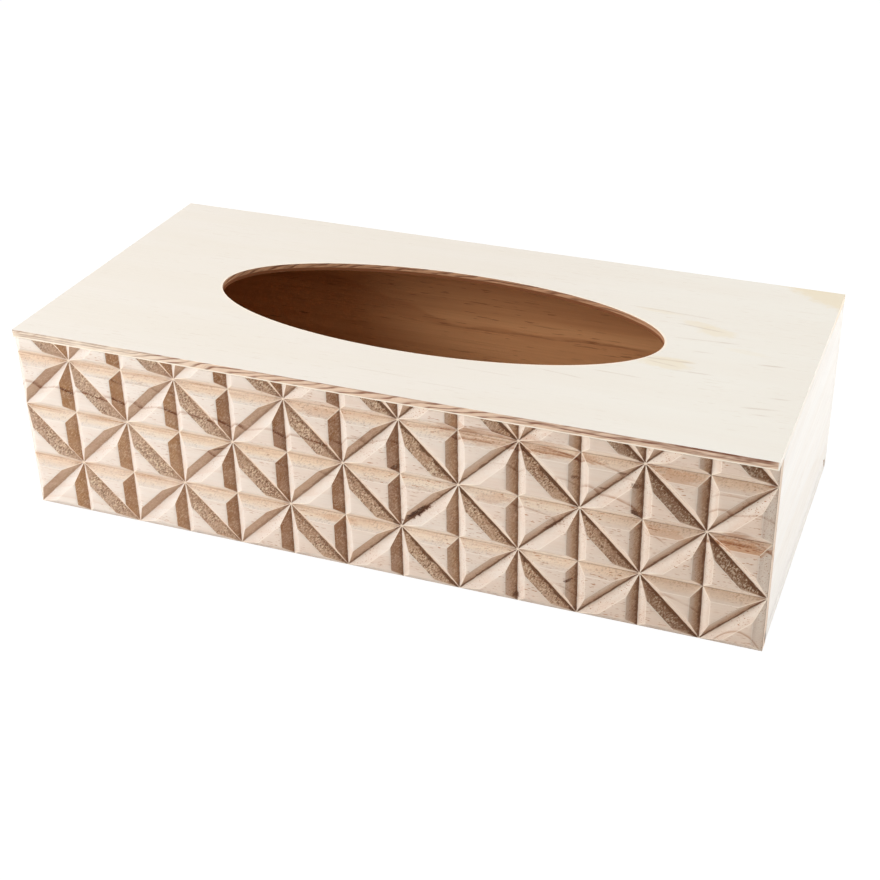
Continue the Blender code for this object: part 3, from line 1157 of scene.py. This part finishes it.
def close_behind(shape, low, high, groove_low, groove_high, groove_floor):
    """Sides, rear and groove behind an open carved face."""
    def rim(axis, level):
        open_ends = {v for e in shape.edges if e.is_boundary for v in e.verts}
        found = [v for v in open_ends if abs(v.co[axis] - level) < RIM_SLACK]
        return sorted(found, key=lambda v: v.co[2 - axis])

    left, right = rim(0, low.x), rim(0, high.x)
    bottom, top = rim(2, 0.0), rim(2, high.z)
    section = [
        (high.y, 0.0),
        (high.y, groove_low),
        (groove_floor, groove_low),
        (groove_floor, groove_high),
        (high.y, groove_high),
        (high.y, high.z),
    ]
    left_rear = [shape.verts.new((low.x, y, z)) for y, z in section]
    right_rear = [shape.verts.new((high.x, y, z)) for y, z in section]
    for i in range(len(section) - 1):
        shape.faces.new((left_rear[i], left_rear[i + 1], right_rear[i + 1], right_rear[i]))
    shape.faces.new(left + left_rear[::-1])
    shape.faces.new(right + right_rear[::-1])
    shape.faces.new(bottom + [right_rear[0], left_rear[0]])
    shape.faces.new(top + [right_rear[-1], left_rear[-1]])
    bmesh.ops.recalc_face_normals(shape, faces=shape.faces)


# Plain boards


def add_piece(name, shape, material, smooth=False):
    """Turn a bmesh into a piece; smooth None keeps each face as it is."""
    mesh = bpy.data.meshes.new(name)
    if smooth is not None:
        for face in shape.faces:
            face.smooth = smooth
    shape.to_mesh(mesh)
    shape.free()
    mesh.materials.append(material)
    piece = bpy.data.objects.new(name, mesh)
    bpy.context.scene.collection.objects.link(piece)
    return piece


def eased_board(name, node, material):
    """The board of a CAD node with its sharp edges taken off."""
    shape = bmesh.new()
    shape.from_mesh(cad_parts[node].data)
    bmesh.ops.remove_doubles(shape, verts=shape.verts, dist=BOARD_WELD)
    bmesh.ops.dissolve_limit(shape, angle_limit=FLAT_ANGLE, verts=shape.verts, edges=shape.edges)
    sharp = [e for e in shape.edges if len(e.link_faces) == 2 and e.calc_face_angle() > SHARP_ANGLE]
    bmesh.ops.bevel(
        shape, geom=sharp, offset=EDGE_EASE, segments=2, profile=0.5, affect="EDGES", clamp_overlap=True
    )
    return add_piece(name, shape, material)


def slot_board(name, node, material):
    """Plywood top: a ring of points from the outer edge to the slot's rim."""
    low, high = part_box(node)
    middle_x, half_x = (low.x + high.x) / 2, (high.x - low.x) / 2
    half_y = high.y
    thick = high.z - low.z
    ease = PLY_EDGE_EASE
    levels = [ease + (thick - 2 * ease) * step / SAWN_STEPS for step in range(SAWN_STEPS + 1)]
    # (share from the outer edge to the slot, inset from that edge, height)
    section = [(0, ease, high.z), (0, 0.3 * ease, high.z - 0.3 * ease)]
    section += [(0, 0, high.z - level) for level in levels]
    section += [(0, 0.3 * ease, low.z + 0.3 * ease), (0, ease, low.z)]
    section += [(1, ease, low.z), (1, 0.3 * ease, low.z + 0.3 * ease)]
    section += [(1, 0, low.z + level) for level in levels]
    section += [(1, 0.3 * ease, high.z - 0.3 * ease), (1, ease, high.z)]
    shape = bmesh.new()
    rim = shape.verts.layers.float.new("rim")
    loops = []
    for at_slot, inset, z in section:
        loop = []
        for step in range(SLOT_STEPS):
            turn = 2 * math.pi * step / SLOT_STEPS
            c, s = math.cos(turn), math.sin(turn)
            rough = 0.0
            if inset == 0:
                place = Vector((c * SAW_MARKS, s * SAW_MARKS, z / SAW_MARK_HEIGHT))
                rough = SAW_MARK_DEPTH * abs(noise.noise(place))
            if at_slot:
                x = (SLOT_LENGTH / 2 + inset + rough) * c
                y = SLOT_BACKWARD + (SLOT_WIDTH / 2 + inset + rough) * s
            else:
                reach = max(abs(c), abs(s))
                x = middle_x + (half_x - inset - rough) * c / reach
                y = (half_y - inset - rough) * s / reach
            vertex = shape.verts.new((x, y, z))
            vertex[rim] = float(at_slot)
            loop.append(vertex)
        loops.append(loop)
    for one, other in zip(loops, loops[1:] + loops[:1]):
        for i in range(SLOT_STEPS):
            j = (i + 1) % SLOT_STEPS
            shape.faces.new((one[i], one[j], other[j], other[i]))
    bmesh.ops.recalc_face_normals(shape, faces=shape.faces)
    return add_piece(name, shape, material)


# Light and dark wood of the plain boards and of the base
PLAIN_WOOD = ((0.945, 0.92, 0.88), (0.91, 0.855, 0.785))
BASE_WOOD = ((0.74, 0.57, 0.40), (0.64, 0.46, 0.30))
# Corners far from the cover: the base has no unplaned inner faces
NO_INNER_FACES = ((1.0, 1.0, 1.0), (2.0, 2.0, 2.0))


def board_materials():
    """Materials of the plain boards, each with where its inner faces lie."""
    back_low, back_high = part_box("back_panel")
    left_low, left_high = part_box("left_wall")
    right_low, right_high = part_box("right_wall")
    strip_low, strip_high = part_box("base_end_strip")
    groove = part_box("sliding_base")[1].y - back_low.y + GROOVE_PLAY + SKIN
    return {
        "back_panel": plain_pine(
            "back pine", *PLAIN_WOOD, (0.30, -0.04), 0.006,
            ((back_low.x + SKIN, back_low.y - SKIN, SKIN),
             (back_high.x - SKIN, back_low.y + groove, back_high.z - SKIN)),
            lines=INNER_LINES,
        ),
        "left_wall": plain_pine(
            "left pine", *PLAIN_WOOD, (0.10, -0.10), 0.006,
            ((left_high.x - groove, left_low.y - SKIN, SKIN),
             (left_high.x + SKIN, left_high.y + SKIN, left_high.z - SKIN)),
            crosswise=True,
        ),
        "right_wall": plain_pine(
            "right pine", *PLAIN_WOOD, (-0.20, -0.10), 0.007,
            ((right_low.x - SKIN, right_low.y - SKIN, right_low.z - SKIN),
             (right_low.x + SKIN, right_high.y + SKIN, right_high.z - SKIN)),
            crosswise=True,
        ),
        "sliding_base": plain_pine("base plywood", *BASE_WOOD, (0.0, -0.30), 0.02, NO_INNER_FACES),
        "base_end_strip": plain_pine(
            "strip pine", *PLAIN_WOOD, (0.0, -0.05), 0.004,
            ((strip_low.x - SKIN, strip_low.y - SKIN, strip_low.z),
             (strip_low.x + SKIN, strip_high.y + SKIN, strip_high.z)),
            crosswise=True,
        ),
    }


def make_pieces():
    front = carved_front()
    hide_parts("front_panel")
    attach(front, "cover")

    top = slot_board("slotted_top_board", "top_panel", top_plywood(*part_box("top_panel")))
    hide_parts("top_panel")
    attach(top, "cover")

    materials = board_materials()
    boards = (
        ("back_board", "back_panel", "cover", "pine"),
        ("left_wall_board", "left_wall", "cover", "pine"),
        ("right_wall_board", "right_wall", "cover", "pine"),
        ("base_board", "sliding_base", "base", "plywood"),
        ("base_end_strip_board", "base_end_strip", "base", "pine"),
    )
    for name, node, body, slot in boards:
        board = eased_board(name, node, materials[node])
        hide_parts(node)
        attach(board, body)


# Light and view

WHITE = (1.0, 1.0, 1.0)
FLOOR_GREY = (0.93, 0.93, 0.93)
FLOOR_RADIUS = 3.0
# The camera sees the floor mostly as plain white, the rest as lit floor
FLOOR_WHITENESS = 1.065
FLOOR_WHITE_SHARE = 0.90
ROOM_LIGHT = 0.12


def add_camera():
    camera = bpy.data.cameras.new("camera")
    camera.lens = CAMERA_LENS_MM
    camera.sensor_width = SENSOR_MM
    camera.shift_x, camera.shift_y = CAMERA_SHIFT
    camera.clip_start = 0.01
    eye = bpy.data.objects.new("camera", camera)
    place = Vector(CAMERA_PLACE)
    gaze = (Vector(CAMERA_AIM) - place).to_track_quat("-Z", "Y")
    eye.matrix_world = (
        Matrix.Translation(place) @ gaze.to_matrix().to_4x4() @ Matrix.Rotation(CAMERA_ROLL, 4, "Z")
    )
    bpy.context.scene.collection.objects.link(eye)
    bpy.context.scene.camera = eye


def add_lamp(name, place, aim, size, watts):
    lamp = bpy.data.lights.new(name, "AREA")
    lamp.shape = "DISK"
    lamp.size = size
    lamp.energy = watts
    holder = bpy.data.objects.new(name, lamp)
    holder.location = place
    holder.rotation_euler = (Vector(aim) - Vector(place)).to_track_quat("-Z", "Y").to_euler()
    bpy.context.scene.collection.objects.link(holder)


def backdrop_rays(tree):
    """1 for the rays that see the white background."""
    rays = put(tree, "ShaderNodeLightPath").outputs
    return largest(rays["Is Camera Ray"], rays["Is Glossy Ray"], rays["Is Transmission Ray"])


def add_floor():
    """Pale floor that the camera sees as white with a faint shadow."""
    shape = bmesh.new()
    bmesh.ops.create_circle(shape, cap_ends=True, segments=96, radius=FLOOR_RADIUS)
    material = bpy.data.materials.new("pale floor")
    material.use_nodes = True
    tree = material.node_tree
    tree.nodes.clear()
    matt = put(tree, "ShaderNodeBsdfDiffuse", {"Color": FLOOR_GREY})
    white = put(tree, "ShaderNodeEmission", {"Color": WHITE, "Strength": FLOOR_WHITENESS})
    share = times(backdrop_rays(tree), FLOOR_WHITE_SHARE)
    mix = put(tree, "ShaderNodeMixShader", {0: share, 1: matt.outputs[0], 2: white.outputs[0]})
    leave = put(tree, "ShaderNodeOutputMaterial")
    feed(leave.inputs["Surface"], mix.outputs[0])
    floor = add_piece("pale_floor", shape, material)


def add_world():
    """Soft white room; the camera sees it as plain white."""
    world = bpy.data.worlds.new("white room")
    bpy.context.scene.world = world
    world.use_nodes = True
    tree = world.node_tree
    tree.nodes.clear()
    strength = grow(backdrop_rays(tree), 1.0 - ROOM_LIGHT, ROOM_LIGHT)
    room = put(tree, "ShaderNodeBackground", {"Color": WHITE, "Strength": strength})
    leave = put(tree, "ShaderNodeOutputWorld")
    feed(leave.inputs["Surface"], room.outputs[0])


def add_lights():
    add_lamp("left_window", (-0.78, -0.80, 0.48), (0.0, -0.06, 0.03), 0.90, 10.8)
    add_lamp("ceiling", (-0.28, 0.02, 1.20), (0.0, 0.0, 0.05), 0.8, 8.0)
    add_lamp("right_window", (0.85, 0.28, 0.30), (0.13, 0.0, 0.04), 0.40, 4.3)


add_camera()
add_world()
add_lights()
add_floor()
make_pieces()
bpy.context.scene.view_settings.view_transform = "Standard"
